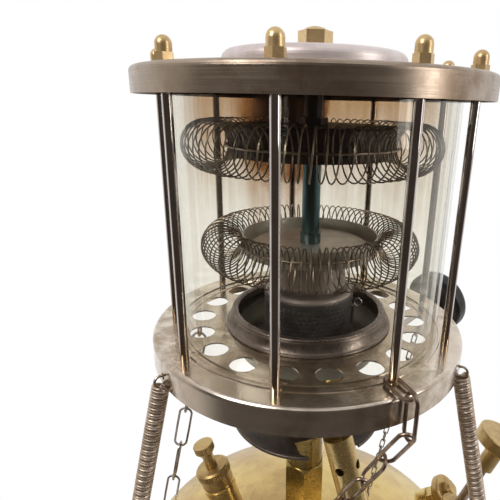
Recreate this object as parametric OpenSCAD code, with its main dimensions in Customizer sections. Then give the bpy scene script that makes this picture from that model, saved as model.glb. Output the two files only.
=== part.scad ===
// Kerosene pressure stove with a glass radiant heater tower on a domed brass tank.
// Everything is drawn round the tower's axis, z = 0 on the floor, camera side towards -Y.

/* [Tower] */
// Height of the tray's top face above the floor
tray_z = 262; // [240:1:290]
// Diameter of the tray and of the top plate
plate_d = 200; // [180:1:220]
// Height of the top plate's upper face above the tray
tower_h = 153.3; // [140:0.1:170]
// Depth of the tray's turned-down rim
tray_rim_h = 15.9; // [10:0.1:20]
// Depth of the top plate's turned-down rim
top_rim_h = 13.1; // [10:0.1:18]
// Sheet thickness of plates, dishes and burner
sheet_t = 0.9; // [0.6:0.1:1.2]
// Diameter of the cage rods
rod_d = 5; // [4:0.5:6]
// Diameter of the circle that the cage rods stand on
rod_circle_d = 178.6; // [170:0.2:184]
// Outer diameter of the glass cylinder
glass_d = 167.2; // [160:0.2:170]
// Wall of the glass cylinder
glass_wall = 3; // [2:0.1:4]
// Diameter of the round air holes in the tray
air_hole_d = 15.5; // [12:0.1:18]
// Diameter of the circle that the air holes lie on
air_circle_d = 140.4; // [130:0.2:150]
// Diameter of the turned lid on the top plate
lid_d = 104.6; // [90:0.2:115]

/* [Radiant coils] */
// Diameter of the coil wire
coil_wire_d = 1.1; // [0.8:0.1:1.6]
// Curls of the upper coil
upper_curls = 48; // [24:1:52]
// Curls of the lower coil
lower_curls = 44; // [24:1:48]
// Radius of one curl of the upper coil
upper_curl_r = 13.6; // [10:0.1:16]
// Radius of one curl of the lower coil
lower_curl_r = 12.3; // [10:0.1:14]
// Outer diameter of the upper cup, which carries the upper coil
upper_cup_d = 97.6; // [90:0.2:110]
// Outer diameter of the lower dish, which carries the lower coil
lower_dish_d = 85.6; // [80:0.2:95]

/* [Burner] */
// Outer diameter of the perforated burner drum
drum_d = 58.6; // [50:0.2:64]
// Perforations round each row of the drum
drum_holes = 30; // [16:2:36]
// Width across the flats of the lower column
column_af = 27; // [22:0.5:30]
// Outer diameter of the pan under the tray
pan_d = 104.8; // [90:0.2:120]
// Outer diameter of the preheating torch tube
torch_d = 19; // [14:0.5:20]
// Diameter of the control wheel
wheel_d = 54; // [40:1:60]

/* [Tank] */
// Outer diameter of the tank
tank_d = 264; // [250:1:270]
// Height of the dome's crown above the floor
crown_z = 104; // [98:0.5:112]
// Radius of the dome's crown
crown_r = 200; // [190:1:230]
// Radius of the bend between the crown and the wall
knuckle_r = 22; // [18:0.5:26]
// Sheet thickness of the tank
tank_t = 1; // [0.8:0.1:1.5]
// Lower edge of the tank's wall above the floor
base_z = 24; // [20:1:30]

/* [Fittings] */
// Outer diameter of the tension springs
spring_d = 10.4; // [9:0.5:13]
// Wire diameter of the tension springs
spring_wire_d = 1.6; // [1.2:0.1:2]
// Wire diameter of the heavy chain
heavy_wire_d = 2.2; // [1.8:0.1:2.6]
// Wire diameter of the light chain
light_wire_d = 1.6; // [1.2:0.1:2]
// Wire diameter of the fine chain
fine_wire_d = 0.9; // [0.6:0.1:1]
// Outer diameter of the pump barrel
barrel_d = 20; // [16:0.5:22]
// Diameter of the pump rod
pump_rod_d = 7; // [5:0.5:8]
// Diameter of the filler cap
filler_cap_d = 25.4; // [24:0.2:30]

/* [Node] */
// Sub-part to draw

/* [Hidden] */

$fn = 64;
axis_x = -14.9;
axis_y = -11.3;
fit = 0.05;
seat = 0.3;
plate_r = plate_d / 2;
rod_r = rod_d / 2;
rod_circle_r = rod_circle_d / 2;
rod_angles = [for (i = [0 : 8]) -100 + 40 * i];
spring_angles = [-144, -24, 96];
top_z = tray_z + tower_h;
glass_r = glass_d / 2;
tie_r = 3;
tube_r = 5.6;
dish_floor_z = tray_z + 49.1;
dish_rim_z = tray_z + 59.7;
dish_seat_z = dish_floor_z + 4.5;
cup_low_z = tray_z + 108;
cup_top_z = tray_z + 125.7;
drum_r = drum_d / 2;
tray_hole_r = 46;
drum_low_z = tray_z - 13;
drum_top_z = tray_z + 21.3;
cap_low_z = tray_z + 27.8;
cap_r = 23.8;
cap_neck_r = 20;
shoulder_r = 3;
cap_top_z = dish_seat_z - sheet_t;
lid_top_z = top_z + 11;
lid_crown_z = lid_top_z + 2;
tank_r = tank_d / 2;
crown_centre_z = crown_z - crown_r;
knuckle_centre_r = tank_r - knuckle_r;
knuckle_z = crown_centre_z + sqrt(pow(crown_r - knuckle_r, 2) - pow(knuckle_centre_r, 2));
knuckle_a = asin(knuckle_centre_r / (crown_r - knuckle_r));
step_r = 42;
step_h = 1.2;
column_low_z = crown_z + step_h;
column_top_z = 172;
body_top_z = 214;
pan_z = 181;
wheel_a = 41.3;
wheel_tilt = 78.8;
spindle_z = 204;
filler_r = 58;
filler_tilt = asin(filler_r / crown_r);
pump_r = 107.5;
pump_tilt = 22;
torch_foot = [51.5, -58.8];
torch_turn = 150.2;
torch_tilt = 17.7;
torch_len = 118;
torch_seat = 16;
torch_nut_low = 10.8;
valve_foot = [106.8, 43.6];
valve_turn = -30;
valve_tilt = 46;
hook_r = 3.4;
hook_sink = 0.6;
spring_top = [101.6, tray_z - 15.9];
spring_low = [tank_r + 6.9, 92];
upper_mean_r = upper_cup_d / 2 + seat + coil_wire_d / 2 + upper_curl_r;
lower_mean_r = lower_dish_d / 2 + seat + coil_wire_d / 2 + lower_curl_r;
upper_coil_z = tray_z + 114.2;
lower_coil_z = tray_z + 53.7;
hoop_in = 1.95;

// Height of the dome's outer face at radius r, inside the bend
function dome_z(r) = crown_centre_z + sqrt(crown_r * crown_r - r * r);

// Points of an arc in the r-z plane
function arc(c, r, a0, a1, n) = [for (i = [0 : n]) let (a = a0 + (a1 - a0) * i / n) c + r * [cos(a), sin(a)]];

// Outline of the tank's outer face, drawn in by t
function tank_outline(t) = concat(
  [[0, crown_z + step_h - t], [step_r - t / 2, dome_z(step_r) + step_h - t]],
  [[step_r + 1.2 - t / 2, dome_z(step_r + 1.2) - t]],
  arc([0, crown_centre_z], crown_r - t, 75, 90 - knuckle_a, 6),
  arc([knuckle_centre_r, knuckle_z], knuckle_r - t, 90 - knuckle_a - 9, 0, 7));

module ring(r_out, r_in, h) {
  difference() {
    cylinder(h = h, r = r_out);
    translate([0, 0, -1]) cylinder(h = h + 2, r = r_in);
  }
}

module torus(big_r, small_r) {
  rotate_extrude() translate([big_r, 0]) circle(r = small_r, $fn = 24);
}

module hex(af, h) {
  cylinder(h = h, r = af / sqrt(3), $fn = 6);
}

module knurled(r, h, teeth) {
  linear_extrude(height = h)
    polygon([for (i = [0 : 2 * teeth - 1]) let (q = r - (i % 2) * 0.5, a = 180 * i / teeth) q * [cos(a), sin(a)]]);
}

module on_filler() {
  translate([-filler_r, 0, dome_z(filler_r)]) rotate([0, -filler_tilt, 0]) children();
}

module on_pump() {
  translate([pump_r, 0, dome_z(pump_r)]) rotate([0, pump_tilt, 0]) children();
}

module on_torch() {
  translate([torch_foot[0], torch_foot[1], dome_z(norm(torch_foot))]) rotate([0, torch_tilt, torch_turn]) children();
}

module on_valve() {
  translate([valve_foot[0], valve_foot[1], dome_z(norm(valve_foot))]) rotate([0, valve_tilt, valve_turn]) children();
}

module on_wheel() {
  rotate([0, 0, wheel_a]) translate([0, 0, spindle_z]) rotate([0, wheel_tilt, 0]) children();
}

module at_rods(z) {
  for (a = rod_angles) rotate([0, 0, a]) translate([rod_circle_r, 0, z]) children();
}

// ---- Tank ----

module tank_shell() {
  color("goldenrod") difference() {
    rotate_extrude() polygon(concat(tank_outline(0), [[tank_r, base_z], [tank_r - tank_t, base_z]],
      [for (i = [len(tank_outline(0)) - 1 : -1 : 0]) tank_outline(tank_t)[i]]));
    translate([0, 0, crown_z - 5]) cylinder(h = 10, r = 6);
    on_filler() translate([0, 0, -8]) cylinder(h = 16, r = 11.5);
    on_pump() translate([0, 0, -12]) cylinder(h = 24, r = 12);
    on_torch() translate([0, 0, -8]) cylinder(h = 16, r = 9);
    on_valve() translate([0, 0, -12]) cylinder(h = 22, r = 7);
  }
}

module tank_base() {
  color("darkgoldenrod") rotate_extrude()
    polygon([[0, base_z - 0.2], [tank_r - 14, base_z - 0.2], [tank_r - 8, base_z - 3], [tank_r - 3, base_z - 4],
      [tank_r + 1.4, base_z - 4], [tank_r + 1.4, base_z], [tank_r - 6, base_z], [tank_r - 14, base_z + 0.8],
      [0, base_z + 0.8]]);
}

module legs() {
  ear_top_z = spring_low[1] - 1.6;
  color("goldenrod") for (a = spring_angles) rotate([0, 0, a]) translate([tank_r, 0, 0]) difference() {
    rotate([90, 0, 0]) translate([0, 0, -9]) linear_extrude(height = 18)
      polygon([[5, 0], [24, 0], [24, 3], [9.5, 3.2], [5, 12], [5, 46], [5.9, 60], [5.9, ear_top_z],
        [4.3, ear_top_z], [4.3, 62], [0, base_z + 19.5], [0, base_z + 2], [1.7, base_z + 1], [1.7, 11], [5, 3.2]]);
    translate([-2, 0, spring_low[1] - hook_r + hook_sink - 2.2]) rotate([0, 90, 0]) cylinder(h = 12, r = 2.4);
  }
}

module pickup_pipe() {
  color("darkgoldenrod") translate([0, 0, 30]) ring(3, 2, 90);
}

// ---- Filler ----

module filler_neck() {
  color("goldenrod") on_filler() difference() {
    union() {
      translate([0, 0, -5]) cylinder(h = 33, r = 11.5);
      translate([0, 0, 27]) cylinder(h = 11.5, r = 10);
      translate([0, 0, 22]) cylinder(h = 4, r = 12.2);
    }
    translate([0, 0, -6]) cylinder(h = 46, r = 7.5);
  }
}

module cap_gasket() {
  color("peru") on_filler() translate([0, 0, 38.7]) ring(10, 3.2, 2);
}

module filler_cap() {
  r = filler_cap_d / 2;
  color("gold") on_filler() difference() {
    union() {
      translate([0, 0, 28.6]) cylinder(h = 9, r = r - 0.9);
      translate([0, 0, 36.8]) knurled(r, 5, 48);
      translate([0, 0, 41.8]) cylinder(h = 1.2, r1 = r - 0.5, r2 = r - 1.8);
    }
    translate([0, 0, 28]) cylinder(h = 13, r = 10.3);
    translate([0, 0, 40]) cylinder(h = 6, r = 2.5 + fit);
  }
}

module release_screw() {
  color("gold") on_filler() {
    translate([0, 0, 36]) cylinder(h = 10, r = 2.5);
    translate([0, 0, 43 + seat]) cylinder(h = 13, r = 4.2);
    translate([0, 0, 55.6]) cylinder(h = 3, r = 5.6);
    translate([0, 0, 58]) knurled(7.5, 5.6, 32);
  }
}

// ---- Pump ----

module pump_barrel() {
  color("goldenrod") on_pump() difference() {
    union() {
      translate([0, 0, -44]) cylinder(h = 73, r = barrel_d / 2);
      translate([0, 0, -9]) cylinder(h = 15, r = 12);
    }
    translate([0, 0, -42.5]) cylinder(h = 80, r = barrel_d / 2 - 1);
    translate([0, 0, -45]) cylinder(h = 4, r = 1.2);
  }
}

module pump_cap() {
  color("gold") on_pump() translate([0, 0, 29]) difference() {
    union() {
      knurled(12, 5, 40);
      translate([0, 0, 5]) cylinder(h = 2.5, r1 = 10, r2 = 7);
    }
    translate([0, 0, -1]) cylinder(h = 11, r = pump_rod_d / 2 + fit);
  }
}

module pump_rod() {
  color("dimgray") on_pump() translate([0, 0, 7]) cylinder(h = 75, r = pump_rod_d / 2);
}

module pump_cup() {
  color("saddlebrown") on_pump() translate([0, 0, 8]) difference() {
    cylinder(h = 9, r = barrel_d / 2 - 1 - fit);
    translate([0, 0, -1]) cylinder(h = 11, r = pump_rod_d / 2);
    translate([0, 0, -1]) cylinder(h = 6, r = barrel_d / 2 - 3);
  }
}

module pump_head() {
  color("gold") on_pump() difference() {
    union() {
      translate([0, 0, 75]) cylinder(h = 21, r = 6.3);
      translate([0, 0, 95.4]) rotate_extrude()
        polygon(concat([[0, 0], [6.3, 0], [16.4, 0.4]], arc([16.8, 1.6], 1.2, -60, 0, 4), arc([17, 8.6], 1, 0, 90, 4),
          [[0, 9.6]]));
    }
    translate([0, 0, 70]) cylinder(h = 12, r = pump_rod_d / 2);
  }
}

// ---- Burner feed ----

module column() {
  bar_top = 147;
  color("goldenrod") difference() {
    union() {
      intersection() {
        translate([0, 0, column_low_z]) rotate([0, 0, 30]) hex(column_af, bar_top - column_low_z);
        union() {
          translate([0, 0, column_low_z - 1]) cylinder(h = bar_top - column_low_z - 2.5, r = 16.5);
          translate([0, 0, bar_top - 3.6]) cylinder(h = 4, r1 = 16.5, r2 = 13);
        }
      }
      translate([0, 0, bar_top - 10]) cylinder(h = column_top_z - bar_top + 10, r = 12.9);
    }
    translate([0, 0, column_low_z - 1]) cylinder(h = 80, r = 2);
    translate([0, 0, column_low_z - 1]) cylinder(h = 120 - column_low_z + 1, r = 3);
  }
}

module burner_base() {
  color("darkgoldenrod") difference() {
    union() {
      translate([0, 0, column_top_z]) cylinder(h = body_top_z - column_top_z, r = 14);
      translate([0, 0, pan_z - 4]) cylinder(h = 4, r = 19);
      on_wheel() cylinder(h = 20, r = 7.5);
    }
    translate([0, 0, column_top_z - 1]) cylinder(h = 8, r = 2);
    translate([0, 0, column_top_z + 6]) cylinder(h = body_top_z - column_top_z - 9, r = 6);
    translate([0, 0, body_top_z - 4]) cylinder(h = 5, r = 1.6);
    for (s = [-1, 1]) translate([10 * s, 0, body_top_z - 12]) cylinder(h = 13, r = 1.6);
    on_wheel() cylinder(h = 30, r = 2.5 + fit);
  }
}

module gland_nut() {
  color("gold") on_wheel() translate([0, 0, 20]) difference() {
    union() {
      hex(14, 8);
      translate([0, 0, 8]) cylinder(h = 3, r1 = 6.2, r2 = 4.5);
    }
    translate([0, 0, -1]) cylinder(h = 14, r = 2.5 + fit);
  }
}

module control_spindle() {
  color("silver") on_wheel() translate([0, 0, 4]) cylinder(h = 144, r = 2.5);
}

module control_wheel() {
  color("black") on_wheel() translate([0, 0, 145]) difference() {
    rotate_extrude() polygon(concat([[0, 0], [8, 0], [8, 4], [wheel_d / 2 - 3, 4]],
      arc([wheel_d / 2 - 3, 7], 3, -90, 0, 5), arc([wheel_d / 2 - 6, 13], 6, 0, 80, 7), [[0, 20.5]]));
    translate([0, 0, -1]) cylinder(h = 4, r = 2.5);
  }
}

module jet_needle() {
  color("silver") translate([0, 0, 189]) {
    cylinder(h = 28.2, r = 0.6);
    cylinder(h = 5, r = 6 - fit);
    translate([0, 0, 4]) cylinder(h = 6, r = 2);
  }
}

module jet_nipple() {
  color("gold") translate([0, 0, body_top_z]) difference() {
    union() {
      hex(7, 4);
      translate([0, 0, 4]) cylinder(h = 4, r1 = 3, r2 = 1.8);
    }
    translate([0, 0, -1]) cylinder(h = 7, r = 1.6);
    translate([0, 0, 5]) cylinder(h = 4, r = 0.7);
  }
}

module vaporiser_tube() {
  arch_z = tray_z + 32;
  color("darkgoldenrod") difference() {
    union() {
      for (s = [-1, 1]) translate([10 * s, 0, body_top_z]) cylinder(h = arch_z - body_top_z, r = 2.5);
      translate([0, 0, arch_z]) rotate([90, 0, 0]) rotate_extrude(angle = 180) translate([10, 0])
        circle(r = 2.5, $fn = 24);
    }
    for (s = [-1, 1]) translate([10 * s, 0, body_top_z - 1]) cylinder(h = arch_z - body_top_z, r = 1.6);
  }
}

module mixing_tube() {
  color("dimgray") translate([0, 0, 226]) {
    difference() {
      cylinder(h = drum_low_z - 226 + sheet_t, r = 6.5);
      translate([0, 0, -1]) cylinder(h = 60, r = 5.7);
    }
  }
}

module heat_pan() {
  color("dimgray") difference() {
    union() {
      rotate_extrude() polygon([[14, pan_z], [38, pan_z], [pan_d / 2 - 1, pan_z + 9], [pan_d / 2 - 1, pan_z + 10],
        [pan_d / 2 - 2, pan_z + 10], [37.6, pan_z + 0.9], [14, pan_z + 0.9]]);
      translate([0, 0, pan_z + 9.4]) torus(pan_d / 2 - 1.4, 1.4);
    }
    rotate([0, 0, -68.5]) translate([22, -16.4, pan_z - 3]) cube([40, 34.6, 18]);
  }
}

// ---- Preheating torch ----

module torch_base() {
  color("goldenrod") on_torch() difference() {
    union() {
      translate([0, 0, -6]) cylinder(h = torch_seat + 6, r = 9);
      translate([0, 0, torch_nut_low]) hex(21, torch_seat - torch_nut_low);
    }
    translate([0, 0, -7]) cylinder(h = 14, r = 3);
    translate([0, 0, 5]) cylinder(h = torch_seat - 4, r = 1.5);
  }
}

module torch_jet() {
  color("gold") on_torch() translate([0, 0, torch_seat]) difference() {
    cylinder(h = 7, r1 = 4, r2 = 2.2);
    translate([0, 0, -1]) cylinder(h = 11, r = 0.8);
  }
}

module torch_tube() {
  color("gold") on_torch() difference() {
    translate([0, 0, torch_seat]) cylinder(h = torch_len - torch_seat, r = torch_d / 2);
    translate([0, 0, torch_seat - 1]) cylinder(h = torch_len, r = torch_d / 2 - 0.8);
    for (a = [0 : 90 : 270], z = [24, 98])
      rotate([0, 0, a + 7]) translate([0, 0, z]) rotate([0, 90, 0]) cylinder(h = 12, r = 2.9);
  }
}

module preheat_valve_body() {
  color("goldenrod") on_valve() difference() {
    union() {
      translate([0, 0, -8]) cylinder(h = 16, r = 7);
      translate([0, 0, 8]) cylinder(h = 9, r = 5.5);
      translate([0, 0, 10]) hex(13, 5);
    }
    translate([0, 0, -1]) cylinder(h = 20, r = 2 + fit);
    translate([0, 0, -9]) cylinder(h = 10, r = 1.2);
  }
}

module preheat_spindle() {
  color("silver") on_valve() cylinder(h = 24, r = 2);
}

module preheat_knob() {
  color("gold") on_valve() translate([0, 0, 17 + seat]) difference() {
    union() {
      rotate_extrude() polygon(concat([[0, 0], [7, 0], [12, 2.6]], arc([11.6, 4.4], 1.6, -50, 0, 3),
        arc([11.4, 8], 1.8, 0, 85, 5), [[0, 9.8]]));
      translate([0, 0, 9]) hex(13, 5.4);
      translate([0, 0, 14.4]) cylinder(h = 1.6, r1 = 5.6, r2 = 4.6);
    }
    translate([0, 0, -1]) cylinder(h = 7.7, r = 2);
  }
}

// ---- Tray and burner head ----

module tray() {
  color("silver") difference() {
    union() {
      rotate_extrude() polygon(concat(
        [[tray_hole_r, tray_z], [tray_hole_r, tray_z - sheet_t], [plate_r - 2.4, tray_z - sheet_t]],
        arc([plate_r - 2.4, tray_z - 2.4], 2.4 - sheet_t, 90, 0, 4),
        [[plate_r - sheet_t, tray_z - tray_rim_h], [plate_r, tray_z - tray_rim_h]],
        arc([plate_r - 2.4, tray_z - 2.4], 2.4, 0, 90, 5)));
      for (r = [79.3, 85.45]) rotate_extrude()
        polygon([[r - 0.9, tray_z - 0.2], [r + 0.9, tray_z - 0.2], [r + 0.5, tray_z + 0.8], [r - 0.5, tray_z + 0.8]]);
    }
    for (i = [0 : 17]) rotate([0, 0, 20 * i]) translate([air_circle_d / 2, 0, tray_z - 3])
      cylinder(h = 6, r = air_hole_d / 2);
    at_rods(tray_z - 3) cylinder(h = 6, r = rod_r);
    for (a = spring_angles) rotate([0, 0, a]) translate([plate_r - 4, 0, tray_z - 9.9 - hook_sink]) rotate([0, 90, 0])
      cylinder(h = 8, r = 2.1);
  }
}

module tray_collar() {
  color("gray") union() {
    rotate_extrude() polygon([[54.6, tray_z], [54.6, tray_z + 0.9], [51.6, tray_z + 1.6], [49, tray_z + 5],
      [48, tray_z + 9.6], [46.9, tray_z + 9.6], [48, tray_z + 4.6], [50.8, tray_z + 0.9], [51.5, tray_z]]);
    translate([0, 0, tray_z + 9.8]) torus(46.6, 1.4);
  }
}

module burner_bowl() {
  hole_r = tray_hole_r - fit;
  color("dimgray") rotate_extrude() polygon([[50.4, tray_z], [hole_r, tray_z], [hole_r, tray_z - 4], [42, tray_z - 12],
    [36, tray_z - 18], [drum_r + 1, tray_z - 20.5], [drum_r + 1, tray_z - 19.6], [35.5, tray_z - 17.1],
    [41.3, tray_z - 11.4], [hole_r - sheet_t, tray_z - 3.7], [hole_r - sheet_t, tray_z + sheet_t],
    [50.4, tray_z + sheet_t]]);
}

module burner_drum() {
  color("dimgray") difference() {
    translate([0, 0, drum_low_z]) cylinder(h = drum_top_z - drum_low_z, r = drum_r);
    translate([0, 0, drum_low_z + sheet_t]) cylinder(h = 60, r = drum_r - sheet_t);
    translate([0, 0, drum_low_z - 1]) cylinder(h = 4, r = 6.5);
    for (s = [-1, 1]) translate([10 * s, 0, drum_low_z - 1]) cylinder(h = 4, r = 2.5);
    for (row = [0 : 2], i = [0 : drum_holes - 1])
      rotate([0, 0, (i + 0.5 * (row % 2)) * 360 / drum_holes]) translate([drum_r - 3, 0, tray_z + 3.5 + 5 * row])
        rotate([0, 90, 0]) cylinder(h = 5, r = 0.8, $fn = 24);
  }
}

// Outline of the cap: a sleeve in the drum, a round shoulder, a neck and the cap itself, drawn in by t
function cap_outline(t) = concat(
  [[drum_r - sheet_t - fit - t, drum_top_z - 6]],
  arc([drum_r - sheet_t - fit - shoulder_r, drum_top_z], shoulder_r - t, 0, 90, 5),
  [[cap_neck_r - t, drum_top_z + shoulder_r - t], [cap_neck_r - t, cap_low_z + t], [cap_r - t, cap_low_z + t],
    [cap_r - 1.5 - t, cap_top_z - t], [tie_r, cap_top_z - t]]);

module burner_cap() {
  outer = cap_outline(0);
  inner = cap_outline(sheet_t);
  color("gray") rotate_extrude() polygon(concat(outer, [for (i = [len(inner) - 1 : -1 : 0]) inner[i]]));
}

module drum_clip() {
  color("silver") rotate([0, 0, -16]) translate([drum_r + 0.7, 0, tray_z + 2]) {
    cylinder(h = 12, r = 0.7);
    translate([2.6, 0, 14.4]) rotate([90, 0, 0]) torus(2.6, 0.7);
  }
}

// ---- Radiant coils and what carries them ----

module lower_dish() {
  r = lower_dish_d / 2;
  color("gray") difference() {
    rotate_extrude() polygon([[0, dish_seat_z], [0, dish_seat_z - sheet_t], [35, dish_seat_z - sheet_t],
      [37, dish_floor_z], [r, dish_floor_z], [r, dish_rim_z], [r - sheet_t, dish_rim_z], [r - sheet_t, dish_floor_z + sheet_t],
      [37.6, dish_floor_z + sheet_t], [35.6, dish_seat_z]]);
    translate([0, 0, dish_floor_z]) cylinder(h = 8, r = tie_r);
  }
}

module upper_cup() {
  r = upper_cup_d / 2;
  color("dimgray") rotate_extrude() polygon(concat([[tube_r, cup_top_z - sheet_t], [r - 2, cup_top_z - sheet_t]],
    [[r - sheet_t, cup_top_z - 2], [r - sheet_t, cup_low_z], [r, cup_low_z]],
    arc([r - 2, cup_top_z - 2], 2, 0, 90, 4), [[tube_r, cup_top_z]]));
}

// One closed winding: the wire's centre goes round a ring of mean radius big_r, curls times
function coil_point(t, big_r, curl_r, curls) = let (b = 360 * curls * t, r = big_r + curl_r * cos(b))
  [r * cos(360 * t), r * sin(360 * t), curl_r * sin(b)];

function coil_ring(t, big_r, curl_r, curls) = let (b = 360 * curls * t, a = 360 * t,
  n = [cos(b) * cos(a), cos(b) * sin(a), sin(b)],
  d = coil_point(t + 0.00002, big_r, curl_r, curls) - coil_point(t - 0.00002, big_r, curl_r, curls),
  w = cross(d / norm(d), n))
  [for (k = [0 : 5]) coil_point(t, big_r, curl_r, curls)
    + coil_wire_d / 2 * (cos(60 * k) * n + sin(60 * k) * w / norm(w))];

module winding(big_r, curl_r, curls) {
  rings = 8 * curls;
  points = [for (i = [0 : rings - 1]) each coil_ring(i / rings, big_r, curl_r, curls)];
  faces = [for (i = [0 : rings - 1], k = [0 : 5]) let (a = 6 * i + k, b = 6 * i + (k + 1) % 6,
    c = 6 * ((i + 1) % rings) + (k + 1) % 6, d = 6 * ((i + 1) % rings) + k) each [[a, b, c], [a, c, d]]];
  polyhedron(points = points, faces = faces, convexity = 10);
}

// Least gap of a winding to its own next curls, measured on points of its centre line
function coil_gap(big_r, curl_r, curls) = min([for (i = [0 : 2 : 32], j = [4 : 60])
  norm(coil_point(i / (32 * curls), big_r, curl_r, curls)
    - coil_point((i + 16 + j) / (32 * curls), big_r, curl_r, curls))])
  - coil_wire_d;

echo(upper_coil_gap_mm = coil_gap(upper_mean_r, upper_curl_r, upper_curls));
echo(lower_coil_gap_mm = coil_gap(lower_mean_r, lower_curl_r, lower_curls));

module lower_coil() {
  color("dimgray") translate([0, 0, lower_coil_z]) winding(lower_mean_r, lower_curl_r, lower_curls);
}

module upper_coil() {
  color("dimgray") translate([0, 0, upper_coil_z]) winding(upper_mean_r, upper_curl_r, upper_curls);
}

module lower_hoop() {
  color("gray") translate([0, 0, lower_coil_z + 0.6]) torus(lower_mean_r - lower_curl_r + hoop_in, 0.7);
}

module upper_hoop() {
  color("gray") translate([0, 0, upper_coil_z - 0.6]) torus(upper_mean_r - upper_curl_r + hoop_in, 0.7);
}

module centre_tube() {
  color("steelblue") difference() {
    union() {
      translate([0, 0, dish_seat_z]) cylinder(h = top_z - sheet_t - dish_seat_z, r = tube_r);
      translate([0, 0, dish_seat_z]) cylinder(h = 6.5, r = 6.6);
      translate([0, 0, cup_top_z - sheet_t - 4]) cylinder(h = 4, r = 7.5);
    }
    translate([0, 0, dish_seat_z - 1]) cylinder(h = 200, r = tie_r + 0.2);
  }
}

module tie_rod() {
  color("silver") translate([0, 0, cap_top_z - 5.6]) cylinder(h = lid_crown_z + 7 - cap_top_z + 5.6, r = tie_r);
}

module tie_nuts() {
  color("silver") {
    translate([0, 0, cap_top_z - sheet_t - 4.2]) difference() {
      hex(10, 4.2);
      translate([0, 0, -1]) cylinder(h = 7, r = tie_r);
    }
    translate([0, 0, cup_top_z]) difference() {
      hex(15, 4);
      translate([0, 0, -1]) cylinder(h = 7, r = tube_r);
    }
  }
}

// ---- Cage, glass and top ----

module glass_cylinder() {
  color("lightblue", 0.35) translate([0, 0, tray_z]) ring(glass_r, glass_r - glass_wall, tower_h - sheet_t);
}

module cage_rods() {
  color("silver") at_rods(tray_z - 6.5) cylinder(h = tower_h + 13.5, r = rod_r);
}

module foot_nuts() {
  color("gold") at_rods(tray_z - sheet_t - 4) difference() {
    hex(8, 4);
    translate([0, 0, -1]) cylinder(h = 6, r = rod_r);
  }
}

module acorn_nuts() {
  color("gold") at_rods(top_z) difference() {
    union() {
      hex(8, 4.4);
      translate([0, 0, 4.4]) cylinder(h = 3.4, r = 3.9);
      translate([0, 0, 7.8]) scale(3.9 / 4) intersection() {
        sphere(r = 4);
        cylinder(h = 5, r = 5);
      }
    }
    translate([0, 0, -1]) cylinder(h = 8, r = rod_r);
  }
}

module top_plate() {
  low_z = top_z - top_rim_h;
  color("silver") difference() {
    rotate_extrude() polygon(concat([[tie_r, top_z], [tie_r, top_z - sheet_t], [plate_r - 2.6, top_z - sheet_t]],
      arc([plate_r - 2.6, top_z - 2.6], 2.6 - sheet_t, 90, 0, 4), [[plate_r - sheet_t, low_z], [plate_r, low_z]],
      arc([plate_r - 2.6, top_z - 2.6], 2.6, 0, 90, 5)));
    at_rods(top_z - 3) cylinder(h = 6, r = rod_r);
  }
}

module lid() {
  r = lid_d / 2;
  color("gainsboro") rotate_extrude() polygon(concat([[r - sheet_t, top_z], [r, top_z]],
    arc([r - 5, lid_top_z - 5], 5, 0, 82, 6), [[tie_r, lid_crown_z], [tie_r, lid_crown_z - sheet_t]],
    arc([r - 5, lid_top_z - 5], 5 - sheet_t, 82, 0, 5)));
}

module centre_nut() {
  color("gold") translate([0, 0, lid_crown_z]) difference() {
    union() {
      cylinder(h = 1.2, r = 10);
      translate([0, 0, 1.2]) hex(17, 8);
      translate([0, 0, 9.2]) rotate_extrude() polygon(concat([[0, 0]], arc([0, -10.4], 13, 50, 90, 6)));
    }
    translate([0, 0, -1]) cylinder(h = 10, r = tie_r);
  }
}

// ---- Springs and chains ----

// An open hook in the x-z plane, from its lowest point round the outer side and over to the inner one
module hook(wire_r) {
  rotate([90, 0, 0]) rotate([0, 0, -90]) rotate_extrude(angle = 250) translate([hook_r, 0])
    circle(r = wire_r, $fn = 16);
}

module tension_springs() {
  span = spring_top - spring_low;
  lean = atan2(-span[0], span[1]);
  wire_r = spring_wire_d / 2;
  body_r = spring_d / 2;
  color("slategray") for (a = spring_angles) rotate([0, 0, a]) {
    translate([spring_low[0], 0, spring_low[1]]) rotate([0, -lean, 0]) difference() {
      cylinder(h = norm(span), r = body_r);
      translate([0, 0, 2 * wire_r]) cylinder(h = norm(span) - 4 * wire_r, r = body_r - 2 * wire_r);
    }
    translate([spring_top[0], 0, spring_top[1] + hook_r - hook_sink]) hook(wire_r);
    translate([spring_low[0], 0, spring_low[1] - hook_r + hook_sink]) mirror([0, 0, 1]) hook(wire_r);
  }
}

module link(length, width, wire) {
  bend_r = (width - wire) / 2;
  straight = length / 2 - width / 2;
  for (s = [0, 180]) rotate([0, s, 0]) translate([0, 0, straight]) rotate([90, 0, 0])
    rotate_extrude(angle = 180) translate([bend_r, 0]) circle(r = wire / 2, $fn = 16);
  for (s = [-1, 1]) translate([s * bend_r, 0, -straight - 0.3])
    cylinder(h = 2 * straight + 0.6, r = wire / 2 - 0.02, $fn = 16);
}

// Links from p to q, every other one turned a quarter
module chain(p, q, count, width, wire, first_turn) {
  v = q - p;
  pitch = norm(v) / count;
  for (i = [0 : count - 1]) translate(p + v * (i + 0.5) / count) rotate([0, acos(v[2] / norm(v)), atan2(v[1], v[0])])
    rotate([0, 0, first_turn + 90 * (i % 2)]) link(pitch + 2 * wire + 0.2, width, wire);
}

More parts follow.
